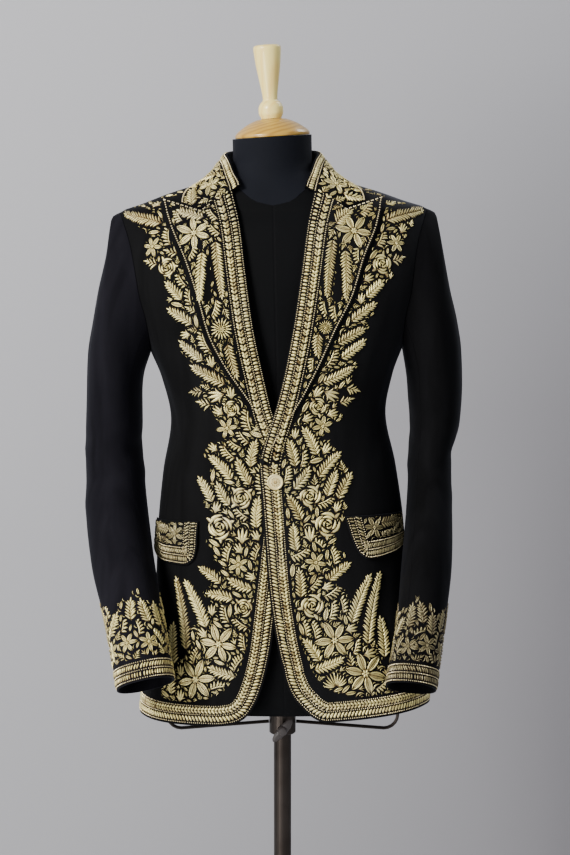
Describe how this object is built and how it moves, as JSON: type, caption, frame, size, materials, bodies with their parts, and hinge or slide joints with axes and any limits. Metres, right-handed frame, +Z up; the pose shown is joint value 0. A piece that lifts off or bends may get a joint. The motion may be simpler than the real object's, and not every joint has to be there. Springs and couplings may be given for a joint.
{
  "type": "blazer on a dress form",
  "caption": "Tailored jacket with peaked lapels, pocket flaps and open cuffs, worn by a limbless dress form with a turned finial on a pole and a round base.",
  "frame": {"origin": "on the floor under the pole, in the middle of the round base's underside", "axes": "+Z up along the pole; the coat's fronts face -Y; +X is the wearer's left"},
  "size_m": [0.5323, 0.3768, 1.6145],
  "materials": {
    "velvet": "black cotton velvet with a soft sheen, worked in gold thread",
    "button_metal": "pale gold, stamped and lightly worn",
    "form_jersey": "black jersey cover, matt",
    "neck_jersey": "dark navy jersey cover, matt",
    "cap_wood": "varnished pale wood with its growth rings",
    "finial_wood": "varnished pale wood",
    "stand_steel": "dark bronze metal, satin",
    "knob_plastic": "dark smoky plastic"
  },
  "bodies": {
    "stand": {"base": "stand_steel", "pole": "stand_steel"},
    "dressed_form": {"front_left": "velvet", "front_right": "velvet", "side_left": "velvet", "side_right": "velvet", "back_left": "velvet", "back_right": "velvet", "top_sleeve_left": "velvet", "top_sleeve_right": "velvet", "under_sleeve_left": "velvet", "under_sleeve_right": "velvet", "lapel_left": "velvet", "lapel_right": "velvet", "collar": "velvet", "pocket_flap_left": "velvet", "pocket_flap_right": "velvet", "front_button": "button_metal", "cuff_button_left_1": "button_metal", "cuff_button_left_2": "button_metal", "cuff_button_left_3": "button_metal", "cuff_button_left_4": "button_metal", "cuff_button_right_1": "button_metal", "cuff_button_right_2": "button_metal", "cuff_button_right_3": "button_metal", "cuff_button_right_4": "button_metal", "form_torso": "form_jersey", "form_neck": "neck_jersey", "neck_cap": "cap_wood", "finial": "finial_wood", "socket": "stand_steel", "rod_left": "stand_steel", "rod_right": "stand_steel"},
    "clamp_screw": {"clamp_screw": "knob_plastic"}
  },
  "joints": [
    {"name": "form_height", "type": "slide", "parent": "stand", "child": "dressed_form", "axis": [0, 0, 1], "range_m": [-0.2, 0.15]},
    {"name": "clamp_screw_turn", "type": "hinge", "parent": "dressed_form", "child": "clamp_screw", "pos_m": [0, -0.0275, 0.646], "axis": [0, -1, 0], "range_deg": [0, 180]}
  ]
}
